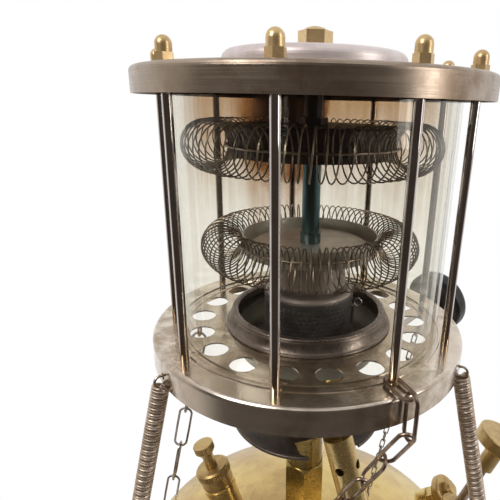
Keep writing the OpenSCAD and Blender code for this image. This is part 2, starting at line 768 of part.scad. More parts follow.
rod_foot = rod_circle_r * [cos(-60), sin(-60)];
heavy_a = -66;
heavy_w = 10.8;
heavy_l = 29;
heavy_out = 17.2;
heavy_pitch = heavy_l - 2 * heavy_wire_d;
heavy_end = [rod_foot[0] + heavy_out * cos(heavy_a), rod_foot[1] + heavy_out * sin(heavy_a)];
heavy_lie_z = tray_z + heavy_wire_d / 2 + 1;
heavy_hang_z = heavy_lie_z + heavy_wire_d + 0.1 - heavy_pitch;
heavy_eye_h = 3.95;
light_eye_h = 4.45;
fine_eye_h = 2.65;
heavy_low = [-3, -39, dome_z(39.1) + step_h + heavy_eye_h + 1];
light_top = [-70.7, -12, tray_z - sheet_t - 7];
light_low = [-108, -12, dome_z(108.7) + light_eye_h + 1.2];
fine_top = [70.2, -12, tray_z - sheet_t - 3.6];
fine_low = [43, -12, dome_z(44.6) + fine_eye_h + 1];

module heavy_chain() {
  ring_l = heavy_out + 4.1 + heavy_wire_d;
  color("dimgray") {
    translate([rod_foot[0], rod_foot[1], heavy_lie_z]) rotate([0, 90, heavy_a])
      translate([0, 0, ring_l / 2 - 4.1 - heavy_wire_d / 2]) rotate([0, 0, 90]) link(ring_l, heavy_w - 0.6, heavy_wire_d);
    translate([heavy_end[0], heavy_end[1], heavy_hang_z + heavy_pitch / 2]) rotate([0, 0, heavy_a])
      link(heavy_l, heavy_w, heavy_wire_d);
    chain([heavy_end[0], heavy_end[1], heavy_hang_z + heavy_wire_d / 2 + 0.2], heavy_low, 6, heavy_w, heavy_wire_d, -45);
  }
}

module light_chain() {
  color("gray") chain(light_top, light_low, 6, 10, light_wire_d, 0);
}

module fine_chain() {
  color("silver") chain(fine_top, fine_low, 26, 3.8, fine_wire_d, 0);
}

// A wire ring for a chain's end link, its lower or upper side on the sheet
module eye(x, y, z, ring_r, wire, turn) {
  translate([x, y, z]) rotate([90, 0, turn]) torus(ring_r, wire / 2);
}

module chain_eyes() {
  under_z = tray_z - sheet_t;
  color("goldenrod") {
    eye(light_top[0], light_top[1], under_z - 4.3, 3.6, 1.4, 90);
    eye(fine_top[0], fine_top[1], under_z - 2.3, 1.8, 1, 90);
    eye(heavy_low[0], heavy_low[1], dome_z(39.1) + step_h + heavy_eye_h, 3, 1.8, 0);
    eye(light_low[0], light_low[1], dome_z(108.7) + light_eye_h, 2.8, 1.6, 0);
    eye(fine_low[0], fine_low[1], dome_z(44.6) + fine_eye_h, 2, 1, 0);
  }
}

module placed() {
  translate([axis_x, axis_y, 0]) children();
}

placed() tank_shell();
placed() tank_base();
placed() legs();
placed() pickup_pipe();
placed() filler_neck();
placed() cap_gasket();
placed() filler_cap();
placed() release_screw();
placed() pump_barrel();
placed() pump_cap();
placed() pump_rod();
placed() pump_cup();
placed() pump_head();
placed() column();
placed() burner_base();
placed() gland_nut();
placed() control_spindle();
placed() control_wheel();
placed() jet_needle();
placed() jet_nipple();
placed() vaporiser_tube();
placed() mixing_tube();
placed() heat_pan();
placed() torch_base();
placed() torch_jet();
placed() torch_tube();
placed() preheat_valve_body();
placed() preheat_spindle();
placed() preheat_knob();
placed() tray();
placed() tray_collar();
placed() burner_bowl();
placed() burner_drum();
placed() burner_cap();
placed() drum_clip();
placed() lower_dish();
placed() lower_coil();
placed() lower_hoop();
placed() centre_tube();
placed() tie_rod();
placed() tie_nuts();
placed() upper_cup();
placed() upper_coil();
placed() upper_hoop();
placed() glass_cylinder();
placed() cage_rods();
placed() foot_nuts();
placed() top_plate();
placed() acorn_nuts();
placed() lid();
placed() centre_nut();
placed() tension_springs();
placed() heavy_chain();
placed() light_chain();
placed() fine_chain();
placed() chain_eyes();
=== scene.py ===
# %% [markdown]
# # A brass kerosene pressure stove with a glass radiant tower
# The stove is already built as a solid model: 56 named parts, each at its true size, on a fixed body and on
# seven that move. This lesson dresses that model. It keeps every part that has the right shape and gives it a
# metal that looks used, and it makes anew the few parts that a solid modeller draws plainly: closely wound
# coils, pull springs, chains, a sheet full of small holes, and the spun ring and bowl round it.

# %% Load the frame, with a helper that gives the box of a part
import bpy
import bmesh
import math
from mathutils import Matrix, Vector


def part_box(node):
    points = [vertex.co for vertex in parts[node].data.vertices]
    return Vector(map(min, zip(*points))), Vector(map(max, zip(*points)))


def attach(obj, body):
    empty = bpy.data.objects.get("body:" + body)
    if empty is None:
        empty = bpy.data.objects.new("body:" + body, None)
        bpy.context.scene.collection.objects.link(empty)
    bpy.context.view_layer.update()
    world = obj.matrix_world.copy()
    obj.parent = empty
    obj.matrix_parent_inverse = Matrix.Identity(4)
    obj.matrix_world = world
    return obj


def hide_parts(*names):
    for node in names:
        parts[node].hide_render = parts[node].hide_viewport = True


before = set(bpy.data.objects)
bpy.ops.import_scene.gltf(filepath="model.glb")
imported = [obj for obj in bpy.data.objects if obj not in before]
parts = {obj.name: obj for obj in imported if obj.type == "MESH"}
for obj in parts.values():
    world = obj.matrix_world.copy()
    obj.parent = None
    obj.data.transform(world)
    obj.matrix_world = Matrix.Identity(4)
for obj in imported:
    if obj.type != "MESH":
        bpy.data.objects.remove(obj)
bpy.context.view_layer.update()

# %% [markdown]
# Most of the tower is turned, spun or wound round one upright axis. If the axis and the main heights are
# measured once on the loaded parts, then each new piece can be placed by them, and it stays right when the
# solid model changes. Profiles and paths further down are written in millimetres, so a factor is kept too.

# %% Measure the axis and the main heights
low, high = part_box("top_plate")
middle = (low + high) / 2
AX, AY = middle.x, middle.y
TOP = high.z
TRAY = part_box("glass_cylinder")[0].z
MM = 1000
T = TRAY * MM
print("axis", round(AX, 4), round(AY, 4), "tray", round(TRAY, 4), "top", round(TOP, 4))

# %% [markdown]
# ## Writing node trees as sums
# A finish is a small calculation: a stain is noise, times a height, minus a threshold. Clicked together, it
# is thirty nodes. Written with the class below, `1 - mask * 0.5` adds its own Math nodes, and it reads like
# the idea behind it. The same class serves geometry trees, because the Math node works in both.

# %% A socket that can be added and multiplied
class Socket:
    """One output of a node. Arithmetic on it adds Math nodes to the same tree."""
    def __init__(self, maker, link):
        self.maker, self.link = maker, link

    def math(self, operation, *terms):
        return self.maker.add("ShaderNodeMath", {"operation": operation}, dict(enumerate(terms)))

    def __add__(self, other): return self.math("ADD", self, other)
    def __radd__(self, other): return self.math("ADD", other, self)
    def __sub__(self, other): return self.math("SUBTRACT", self, other)
    def __rsub__(self, other): return self.math("SUBTRACT", other, self)
    def __mul__(self, other): return self.math("MULTIPLY", self, other)
    def __rmul__(self, other): return self.math("MULTIPLY", other, self)
    def __truediv__(self, other): return self.math("DIVIDE", self, other)
    def __pow__(self, other): return self.math("POWER", self, other)
    def sin(self): return self.math("SINE", self)
    def cos(self): return self.math("COSINE", self)
    def abs(self): return self.math("ABSOLUTE", self)
    def sqrt(self): return self.math("SQRT", self)
    def mod(self, other): return self.math("MODULO", self, other)
    def above(self, edge): return self.math("GREATER_THAN", self, edge)
    def most(self, other): return self.math("MAXIMUM", self, other)

    def ease(self, low, high, start=0.0, end=1.0):
        """Goes smoothly from start to end while this value goes from low to high."""
        return self.maker.add("ShaderNodeMapRange", {"interpolation_type": "SMOOTHSTEP"},
                              {0: self, 1: low, 2: high, 3: start, 4: end})

print("a socket knows", len([n for n in dir(Socket) if not n.startswith("__")]), "named sums")

# %% [markdown]
# One method makes every other node. Its settings come first, because a node's mode decides which sockets it
# has. After that come the values or links of the sockets, by name or by number.

# %% A maker that adds nodes to one tree
class Maker:
    """Adds nodes to one node tree."""
    def __init__(self, tree):
        self.tree = tree

    def add(self, kind, settings=None, sockets=None, out=0):
        """A new node, as the Socket of one of its outputs."""
        node = self.tree.nodes.new(kind)
        for name, value in (settings or {}).items():
            if name == "ramp":
                while len(node.color_ramp.elements) < len(value):
                    node.color_ramp.elements.new(0.5)
                for element, (place, colour) in zip(node.color_ramp.elements, value):
                    element.position, element.color = place, (*colour, 1)
            else:
                setattr(node, name, value)
        for key, value in (sockets or {}).items():
            socket = node.inputs[key]
            if isinstance(value, Socket):
                self.tree.links.new(value.link, socket)
            elif socket.type == "RGBA" and len(value) == 3:
                socket.default_value = (*value, 1)
            else:
                socket.default_value = value
        return Socket(self, node.outputs[out]) if node.outputs else node

    def mix(self, factor, a, b):
        """A colour between colours a and b."""
        return self.add("ShaderNodeMix", {"data_type": "RGBA"}, {0: factor, 6: a, 7: b}, out=2)

    def vector(self, x, y, z):
        return self.add("ShaderNodeCombineXYZ", None, {0: x, 1: y, 2: z})

print("maker ready")

# %% [markdown]
# ## Patterns that belong to the tower
# Turned and spun metal carries fine marks that run round its axis. Noise gets them for nothing, if it is read
# not at x, y and z but at the angle round the axis, the radius and the height, with the angle hardly scaled
# and the others scaled a lot. The object coordinates are in metres, and they are fixed to the metal, so
# the marks stay put when the camera or the part moves.

# %% A finish: a material with coordinates and noise at hand
class Finish(Maker):
    """A material under construction, with the coordinates that its patterns read."""
    def __init__(self, name):
        self.material = bpy.data.materials.new(name)
        self.material.use_nodes = True
        super().__init__(self.material.node_tree)
        self.tree.nodes.clear()
        self.place = self.add("ShaderNodeTexCoord", None, None, out="Object")
        split = self.add("ShaderNodeSeparateXYZ", None, {0: self.place})
        outs = split.link.node.outputs
        self.x, self.y, self.z = Socket(self, outs[0]) - AX, Socket(self, outs[1]) - AY, Socket(self, outs[2])
        self.angle = self.x.math("ARCTAN2", self.y, self.x)
        self.radius = (self.x * self.x + self.y * self.y).sqrt()

    def noise(self, scale, detail=3.0, rough=0.55, where=None):
        sockets = {"Vector": where or self.place, "Scale": scale, "Detail": detail, "Roughness": rough}
        return self.add("ShaderNodeTexNoise", {"noise_dimensions": "3D"}, sockets)

    def turned(self, fineness, detail=2.0, along=1.5):
        """Noise drawn out along the circles round the axis."""
        across = self.radius * fineness + self.angle.cos() * along
        where = self.vector(self.angle.sin() * along, across, self.z * fineness)
        return self.noise(1.0, detail, 0.6, where)

    def drawn(self, fineness, along=12.0, detail=2.0):
        """Noise drawn out along the height, as on drawn rod and tube."""
        where = self.vector(self.x * fineness, self.y * fineness, self.z * along)
        return self.noise(1.0, detail, 0.6, where)

    def bump(self, height, strength, distance=0.0002):
        sockets = {"Strength": strength, "Distance": distance, "Height": height}
        return self.add("ShaderNodeBump", None, sockets)

    def surface(self, colour, metallic, roughness, normal=None):
        """Ends the material in one Principled shader."""
        sockets = {"Base Color": colour, "Metallic": metallic, "Roughness": roughness}
        if normal:
            sockets["Normal"] = normal
        return self.end(self.add("ShaderNodeBsdfPrincipled", None, sockets))

    def clear(self, colour):
        """A shader that lets light through and tints it."""
        return self.add("ShaderNodeBsdfTransparent", None, {"Color": colour})

    def blend(self, factor, a, b):
        """A shader between shaders a and b."""
        return self.add("ShaderNodeMixShader", None, {0: factor, 1: a, 2: b})

    def end(self, shader):
        self.add("ShaderNodeOutputMaterial", None, {0: shader})
        return self.material

print("finish ready")

# %% [markdown]
# ## Plain steel of the plates
# The tray, the top plate and its lid are spun from plated steel sheet. Years of heat have turned them from
# silver to a warm grey, browner in patches, and cleaning has left fine lines round them. The colour is a slow
# mix of two greys and a brown, and the lines go into roughness and a very shallow bump. The three differ in
# wear: the top plate is the brownest, the tray is clean enough to mirror the cage, and the lid is pale and
# dull.

# %% Steel finishes for the plates
def plate_steel(name, light, dark, stain, gloss, stains, metallic=0.88):
    f = Finish(name)
    lines = f.turned(1500)
    cloud = f.noise(22, 5)
    spots = f.noise(85, 6, 0.7)
    tone = f.mix(cloud.ease(0.35, 0.65), light, dark)
    patches = f.noise(14, 4).ease(0.42, 0.62) * spots.ease(0.35, 0.6)
    tone = f.mix(patches * stains, tone, stain)
    rough = gloss + (lines - 0.5) * 0.22 + (spots - 0.5) * 0.16
    return f.surface(tone, metallic, rough.most(0.08), f.bump(lines, 0.12))

rim_steel = plate_steel("rim_steel", (0.44, 0.36, 0.29), (0.33, 0.26, 0.20), (0.22, 0.15, 0.10),
                        gloss=0.30, stains=0.75)
tray_steel = plate_steel("tray_steel", (0.76, 0.68, 0.58), (0.58, 0.49, 0.41), (0.32, 0.24, 0.155),
                         gloss=0.19, stains=0.8, metallic=0.93)
lid_steel = plate_steel("lid_steel", (0.80, 0.73, 0.72), (0.70, 0.62, 0.62), (0.50, 0.41, 0.39),
                        gloss=0.40, stains=0.5, metallic=0.5)
print("plate finishes:", rim_steel.name, tray_steel.name, lid_steel.name)

# %% [markdown]
# ## Steel that has been in the flame
# The collar, the burner drum, the dishes and the pan have seen red heat. The cup, the drum and the pan are
# nearly black with scale, the collar is a dark brown, and the dish under the lower coil has stayed a pale
# grey. All are metals with a broken, dull surface: a blotched colour, a high roughness and a grainy bump.

# %% Heated finishes
RUST = (0.30, 0.25, 0.21)

def scaled_steel(name, light, dark, gloss, metallic=0.85):
    f = Finish(name)
    cloud = f.noise(40, 5, 0.6)
    fine = f.noise(260, 4, 0.7)
    lines = f.turned(1100)
    tone = f.mix(cloud.ease(0.38, 0.62), light, dark)
    tone = f.mix(fine.ease(0.55, 0.8) * 0.35, tone, RUST)
    return f.surface(tone, metallic, gloss + (fine - 0.5) * 0.3, f.bump(fine * 0.7 + lines * 0.3, 0.25))

collar_steel = scaled_steel("collar_steel", (0.235, 0.195, 0.18), (0.15, 0.12, 0.115), 0.30)
drum_steel = scaled_steel("drum_steel", (0.155, 0.15, 0.16), (0.09, 0.083, 0.088), 0.46)
pan_steel = scaled_steel("pan_steel", (0.17, 0.14, 0.115), (0.085, 0.068, 0.06), 0.42)
dish_steel = scaled_steel("dish_steel", (0.68, 0.645, 0.60), (0.50, 0.47, 0.435), 0.42)
cup_steel = scaled_steel("cup_steel", (0.060, 0.045, 0.040), (0.028, 0.022, 0.022), 0.40)
cap_steel = scaled_steel("cap_steel", (0.36, 0.31, 0.295), (0.24, 0.20, 0.195), 0.52, metallic=0.75)
bowl_steel = scaled_steel("bowl_steel", (0.40, 0.39, 0.34), (0.26, 0.25, 0.215), 0.42)
print("heated finishes, from the darkest to the palest:", cup_steel.name, "to", dish_steel.name)

# %% [markdown]
# The centre tube has the dark blue-green of tempered steel in its lower half, and it is brown-black above. A
# colour ramp over the height gives these temper colours, and a little noise keeps their borders uneven.

# %% Temper colours on the centre tube
f = Finish("tempered_tube")
heat = (f.z - (TRAY + 0.05)) / 0.1 + (f.noise(60, 3) - 0.5) * 0.2
TEMPER = [(0.0, (0.13, 0.15, 0.155)), (0.12, (0.085, 0.15, 0.17)), (0.5, (0.06, 0.115, 0.14)),
          (0.62, (0.03, 0.03, 0.045)), (1.0, (0.030, 0.020, 0.018))]
colours = f.add("ShaderNodeValToRGB", {"ramp": TEMPER}, {0: heat})
tube_steel = f.surface(colours, 1.0, 0.32 + (f.drawn(900) - 0.5) * 0.25)
print("tube finish:", tube_steel.name)

# %% [markdown]
# ## Brass, new and old
# Brass tarnishes from a bright yellow to tan and olive, first where hands and soot leave a film. The knobs
# and caps here are dull and tan, the column between flame and tank is the darkest, and the tank is a large,
# softly shining shell with cloudy patches and fine scratches from wiping.

# %% Brass finishes
def brass(name, bright, dull, film, gloss, clouds=55, fine=1300, scratch=0.1, metallic=1.0):
    f = Finish(name)
    cloud = f.noise(clouds, 5, 0.62)
    spots = f.noise(clouds * 5, 5, 0.7)
    tone = f.mix(cloud.ease(0.36, 0.64), bright, dull)
    tone = f.mix(spots.ease(0.52, 0.75) * 0.5, tone, film)
    lines = f.turned(fine)
    rough = gloss + (cloud - 0.5) * 0.2 + (lines - 0.5) * 0.14
    return f.surface(tone, metallic, rough.most(0.1), f.bump(lines * 0.6 + spots * 0.4, scratch))

nut_brass = brass("nut_brass", (0.74, 0.54, 0.28), (0.60, 0.42, 0.21), (0.38, 0.25, 0.14),
                  gloss=0.34, metallic=0.72)
knob_brass = brass("knob_brass", (0.56, 0.40, 0.175), (0.42, 0.285, 0.12), (0.27, 0.175, 0.09),
                   gloss=0.40, metallic=0.9)
column_brass = brass("column_brass", (0.34, 0.25, 0.085), (0.255, 0.18, 0.062), (0.16, 0.108, 0.045),
                     gloss=0.26, clouds=35)
fitting_brass = brass("fitting_brass", (0.80, 0.61, 0.28), (0.64, 0.47, 0.20), (0.38, 0.26, 0.12),
                      gloss=0.26, clouds=35, metallic=0.85)
tank_brass = brass("tank_brass", (0.69, 0.52, 0.215), (0.48, 0.33, 0.145), (0.32, 0.21, 0.105),
                   gloss=0.27, clouds=16, fine=700, scratch=0.05)
print("brass finishes: 5")

# %% [markdown]
# ## Rods, wires and chains
# The cage rods are bright drawn steel, with a little brown near the tray. Coil wire is oxidised to a dull
# brown, spring wire is a warm grey, and of the chains the heavy one is rusty and the others are grey.

# %% Wire and rod finishes
def wire_steel(name, light, dark, gloss, scale=120, foot=None):
    f = Finish(name)
    cloud = f.noise(scale, 4, 0.6)
    tone = f.mix(cloud.ease(0.35, 0.65), light, dark)
    if foot:
        low, high, colour = foot
        tone = f.mix(f.z.ease(low, high, 0.75, 0.0), tone, colour)
    return f.surface(tone, 1.0, (gloss + (cloud - 0.5) * gloss).most(0.05))

brown_foot = (TRAY, TRAY + 0.03, (0.42, 0.30, 0.17))
rod_steel = wire_steel("rod_steel", (0.66, 0.63, 0.62), (0.55, 0.50, 0.48), 0.07, 40, brown_foot)
coil_steel = wire_steel("coil_steel", (0.30, 0.25, 0.20), (0.17, 0.13, 0.10), 0.34)
spring_steel = wire_steel("spring_steel", (0.60, 0.50, 0.41), (0.43, 0.34, 0.265), 0.48)
chain_steel = wire_steel("chain_steel", (0.36, 0.275, 0.22), (0.20, 0.14, 0.105), 0.36)
pale_chain_steel = wire_steel("pale_chain_steel", (0.48, 0.45, 0.43), (0.36, 0.32, 0.29), 0.30)
plain_steel = wire_steel("plain_steel", (0.55, 0.53, 0.50), (0.42, 0.40, 0.38), 0.30)
print("wire finishes: 6")

# %% [markdown]
# The last plain finishes are the black phenolic of the control wheel, the leather of the pump cup and the
# fibre of the cap's gasket. None is a flat colour: each has a mottle and a grain.

# %% Black knob, leather and fibre
def mottled(name, light, dark, gloss, scale, strength):
    f = Finish(name)
    cloud = f.noise(scale, 5, 0.65)
    tone = f.mix(cloud.ease(0.35, 0.65), light, dark)
    grain = f.bump(f.noise(scale * 9, 3), strength)
    return f.surface(tone, 0.0, gloss + (cloud - 0.5) * 0.2, grain)

black_knob = mottled("black_knob", (0.014, 0.013, 0.013), (0.007, 0.007, 0.007), 0.42, 120, 0.08)
leather = mottled("cup_leather", (0.23, 0.11, 0.05), (0.13, 0.06, 0.03), 0.7, 300, 0.5)
fibre = mottled("gasket_fibre", (0.30, 0.16, 0.10), (0.20, 0.11, 0.07), 0.8, 400, 0.4)
print("other finishes: 3")

# %% [markdown]
# ## Glass that lets the lamp light through
# Real refraction in a 3 mm wall would darken all that stands behind it, because lamp light can't be traced
# through it in reasonable time. A thin wall bends light too little to see. So the glass is a clear shader
# that turns into a mirror as it is seen more sideways: hardly at all square on, and strongly at its two
# edges.

# %% Clear glass
f = Finish("heat_glass")
facing = f.add("ShaderNodeLayerWeight", None, {"Blend": 0.5}, out="Facing")
edge = 0.035 + (facing ** 4.0) * 0.7
sockets = {"Base Color": (0.87, 0.86, 0.80), "Metallic": 1.0, "Roughness": 0.04}
mirror = f.add("ShaderNodeBsdfPrincipled", None, sockets)
heat_glass = f.end(f.blend(edge, f.clear((0.985, 0.98, 0.965)), mirror))
print("glass finish:", heat_glass.name)

# %% [markdown]
# Burnt dust has settled on the inside of the glass at the back. It is a separate film a fraction of a
# millimetre inside the wall, made of clear shaders: one without colour and one with a strong brown tint.
# Masks mix them, so the light from behind comes through cream low down and brown near the top, and the rods
# behind stay visible. A darker tint and a solid black make the smoke stain behind the cup. The masks are
# sums of the height, of noise drawn out along the height, and of the angle: a quarter turn (1.57) is the
# point straight behind the axis.

# %% Smoke film on the inside of the glass
f = Finish("smoke_film")
height = (f.z - TRAY) / (TOP - TRAY)
streaks = f.drawn(110, 7, 4)
clouds = f.noise(24, 4)
turn = f.angle + (clouds - 0.5) * 0.3
behind = f.angle.sin().ease(-0.1, 0.5)
plume = turn.ease(1.4, 1.8) * turn.ease(1.95, 2.5, 1.0, 0.0)
settled = height + (streaks - 0.5) * 0.5 + (clouds - 0.5) * 0.35 + plume * 0.25
haze = behind * settled.ease(0.25, 1.0, 0.06, 0.92)
sides = turn.ease(1.42, 1.54) * turn.ease(1.95, 2.4, 1.0, 0.0)
stain = sides * (height + (f.noise(30, 4) - 0.5) * 0.45).ease(0.42, 0.80)
clean, dust = f.clear((0.99, 0.985, 0.95)), f.clear((0.40, 0.215, 0.075))
burnt = f.clear((0.22, 0.095, 0.035))
soot = f.add("ShaderNodeBsdfPrincipled", None, {"Base Color": (0.045, 0.014, 0.006), "Roughness": 0.6})
film = f.blend(haze, clean, dust)
film = f.blend(stain.ease(0.0, 0.45), film, burnt)
smoke_film = f.end(f.blend(stain.ease(0.3, 0.95, 0.0, 0.96), film, soot))
print("film finish:", smoke_film.name)

# %% [markdown]
# ## Dress the solid parts
# Most parts need no new shape. A table names the finish of each solid part, by what it is made of on the
# real stove. Assigning a material to the part's slot leaves its mesh untouched.

# %% Give every solid part its finish
WEAR = {
    tank_brass: ["tank_shell", "tank_base"],
    column_brass: ["column", "burner_base"],
    fitting_brass: ["torch_base", "torch_tube", "legs", "filler_neck", "preheat_valve_body", "pump_barrel"],
    knob_brass: ["filler_cap", "release_screw", "pump_head", "pump_cap", "preheat_knob", "gland_nut",
                 "torch_jet", "jet_nipple"],
    nut_brass: ["acorn_nuts", "foot_nuts", "centre_nut", "chain_eyes"],
    rim_steel: ["top_plate"],
    tray_steel: ["tray"],
    lid_steel: ["lid"],
    collar_steel: ["tray_collar"],
    cap_steel: ["burner_cap", "mixing_tube"],
    drum_steel: ["burner_drum", "vaporiser_tube", "pickup_pipe"],
    bowl_steel: ["burner_bowl"],
    pan_steel: ["heat_pan"],
    dish_steel: ["lower_dish"],
    cup_steel: ["upper_cup", "tie_nuts"],
    tube_steel: ["centre_tube"],
    rod_steel: ["cage_rods"],
    coil_steel: ["lower_hoop", "upper_hoop", "upper_coil", "lower_coil"],
    spring_steel: ["tension_springs"],
    chain_steel: ["heavy_chain", "pump_rod"],
    pale_chain_steel: ["light_chain", "fine_chain", "drum_clip"],
    plain_steel: ["tie_rod", "control_spindle", "jet_needle", "preheat_spindle"],
    black_knob: ["control_wheel"],
    leather: ["pump_cup"],
    fibre: ["cap_gasket"],
    heat_glass: ["glass_cylinder"],
}
for finish, names in WEAR.items():
    for name in names:
        parts[name].data.materials.clear()
        parts[name].data.materials.append(finish)
print("dressed", sum(map(len, WEAR.values())), "of", len(parts), "parts")

# %% [markdown]
# ## Helpers for new pieces
# A new piece is a mesh whose object sits at the origin, as the solid parts do. Smooth shading with sharp
# edges above 35 degrees suits turned metal: round faces flow, and corners stay crisp.

# %% Turn a mesh into a piece that rides on a body
def piece(name, mesh, finish, body="stove", stands_for=()):
    """Adds a mesh as a new piece, in place of the solid parts that it stands for."""
    obj = bpy.data.objects.new(name, mesh)
    bpy.context.scene.collection.objects.link(obj)
    mesh.materials.clear()
    mesh.materials.append(finish)
    mesh.shade_smooth()
    mesh.set_sharp_from_angle(angle=math.radians(35))
    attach(obj, body)
    if stands_for:
        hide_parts(*stands_for)
    print(name, len(mesh.polygons), "faces on", body)
    return obj

# %% [markdown]
# Turned pieces come from one profile of (radius, height) points that is carried round the axis in small
# steps. This is what the Spin tool does; in code the rows of points can be written straight down.

# %% Turn a profile round the tower's axis
def lathe(profile, steps=192, closed=True):
    """A mesh from (radius, height) points in millimetres, the heights above the floor."""
    mesh = bmesh.new()
    rows = []
    for k in range(steps):
        a = 2 * math.pi * k / steps
        rows.append([mesh.verts.new((AX + r * math.cos(a) / MM, AY + r * math.sin(a) / MM, z / MM))
                     for r, z in profile])
    count = len(profile)
    for k in range(steps):
        here, there = rows[k], rows[(k + 1) % steps]
        for j in range(count if closed else count - 1):
            i = (j + 1) % count
            mesh.faces.new((here[j], there[j], there[i], here[i]))
    bmesh.ops.recalc_face_normals(mesh, faces=mesh.faces)
    data = bpy.data.meshes.new("turned")
    mesh.to_mesh(data)
    mesh.free()
    return data

print("lathe ready")

# %% [markdown]
# The smoke film is the simplest turned piece: a profile of two points makes an open sleeve. The smoke could
# be a colour on the glass itself, but then the wall's outer face would be brown too.

# %% The smoke film
GLASS_WALL, GAP = 3.0, 0.2
film_r = (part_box("glass_cylinder")[1].x - AX) * MM - GLASS_WALL - GAP
film = lathe([(film_r, T + 1), (film_r, TOP * MM - 2)], 160, closed=False)
piece("smoke_film", film, smoke_film)

# %% [markdown]
# ## Geometry trees with named sizes
# What repeats or follows a path is made by Geometry Nodes. Each tree gets named inputs for its sizes, and it
# ends in Realize Instances and Set Material. A helper runs a tree on an empty mesh and keeps the result as a
# plain mesh, because an exported model can't carry a live tree.

# %% Start, end and run a geometry tree
KINDS = {float: "NodeSocketFloat", int: "NodeSocketInt", tuple: "NodeSocketVector"}

def new_tree(name, sizes):
    """A geometry tree and a dictionary of its named input sockets."""
    tree = bpy.data.node_groups.new(name, "GeometryNodeTree")
    for label, value in sizes.items():
        socket = tree.interface.new_socket(label, in_out="INPUT", socket_type=KINDS[type(value)])
        socket.default_value = value
    tree.interface.new_socket("Finish", in_out="INPUT", socket_type="NodeSocketMaterial")
    tree.interface.new_socket("Geometry", in_out="OUTPUT", socket_type="NodeSocketGeometry")
    maker = Maker(tree)
    entry = tree.nodes.new("NodeGroupInput")
    return maker, {s.name: Socket(maker, s) for s in entry.outputs if s.name}

def end_tree(maker, geometry, finish):
    """Makes one real mesh of the geometry and gives it its finish."""
    solid = maker.add("GeometryNodeRealizeInstances", None, {0: geometry})
    dressed = maker.add("GeometryNodeSetMaterial", None, {0: solid, 2: finish})
    maker.add("NodeGroupOutput", None, {0: dressed})

def run_tree(name, maker, sizes, finish, start=None):
    """The mesh that a tree makes from an empty mesh, or from the bmesh called start."""
    host = bpy.data.objects.new(name + "_host", bpy.data.meshes.new(name + "_host"))
    if start:
        start.to_mesh(host.data)
    bpy.context.scene.collection.objects.link(host)
    modifier = host.modifiers.new("tree", "NODES")
    modifier.node_group = maker.tree
    labels = {s.name: s.identifier for s in maker.tree.interface.items_tree if s.in_out == "INPUT"}
    for label, value in {**sizes, "Finish": finish}.items():
        modifier[labels[label]] = value
    state = bpy.context.evaluated_depsgraph_get()
    mesh = bpy.data.meshes.new_from_object(host.evaluated_get(state), depsgraph=state)
    host.modifiers.clear()
    bpy.data.objects.remove(host)
    return mesh

print("start, end and run are ready")

# %% [markdown]
# Three more steps come back in most trees: laying a round wire along a curve, reading where the points are,
# and moving them all to their place.

# %% Steps that several trees share
def tube(maker, line, wire, sides, caps=False):
    """A round wire laid along a curve."""
    rim = maker.add("GeometryNodeCurvePrimitiveCircle", None, {"Resolution": sides, "Radius": wire * 0.5})
    return maker.add("GeometryNodeCurveToMesh", None, {0: line, 1: rim, "Fill Caps": caps})

def coordinates(maker):
    """The x, y and z of each point of a geometry."""
    place = maker.add("GeometryNodeInputPosition")
    outs = maker.add("ShaderNodeSeparateXYZ", None, {0: place}).link.node.outputs
    return [Socket(maker, out) for out in outs]

def shifted(maker, place, by):
    """A place moved by the same way for all points."""
    return maker.add("ShaderNodeVectorMath", {"operation": "ADD"}, {0: place, 1: by})

def told(maker):
    print("tree", maker.tree.name, "has", len(maker.tree.nodes), "nodes")

print("shared steps ready")

# %% [markdown]
# ## The radiant coils
# Each coil is one long wire, wound round a former and bent into a ring until its ends meet. It could be made
# of some eighty separate circles, but then the wire would not climb from turn to turn. Here a single closed
# line of points is bent by one formula: while a point goes once round the ring, it goes some eighty times
# round the curl. A little noise makes the turns unequal, as they are on a coil that has been red hot.

# %% A tree that winds a wire round a ring
wound_ring, size = new_tree("wound_ring", {
    "Centre": (0.0, 0.0, 0.0), "Ring": 0.06, "Curl": 0.012, "Curls": 80, "Steps": 24, "Wire": 0.001,
    "Unrest": 0.05, "Seed": 1.0})
maker = wound_ring
count = size["Curls"] * size["Steps"]
line = maker.add("GeometryNodeMeshLine", None, {"Count": count})
line = maker.add("GeometryNodeMeshToCurve", None, {0: line})
line = maker.add("GeometryNodeSetSplineCyclic", None, {0: line, "Cyclic": True})
share = maker.add("GeometryNodeInputIndex") / count
turn = share * (2 * math.pi)
where = {"Vector": maker.vector(turn.cos(), turn.sin(), 0.0), "W": size["Seed"], "Scale": 9.0, "Detail": 2.0}
uneven = maker.add("ShaderNodeTexNoise", {"noise_dimensions": "4D"}, where) - 0.5
curl = share * size["Curls"] * (2 * math.pi)
turn = turn + uneven * size["Unrest"]
reach = size["Ring"] + curl.cos() * size["Curl"] * (1 + uneven * size["Unrest"] * 2)
rise = curl.sin() * size["Curl"] * (1 - uneven * size["Unrest"] * 2)
place = shifted(maker, maker.vector(turn.cos() * reach, turn.sin() * reach, rise), size["Centre"])
line = maker.add("GeometryNodeSetPosition", None, {0: line, "Position": place})
end_tree(maker, tube(maker, line, size["Wire"], 7), size["Finish"])
told(maker)

# %% [markdown]
# The solid coils have the right size, but their turns are fewer and coarser. So the ring's radius and the
# curl's radius come from the box of each solid coil, and only the number of turns and the wire are new.

# %% Wind both coils to the sizes of the solid ones
SOLID_WIRE, COIL_WIRE = 0.0011, 0.00085

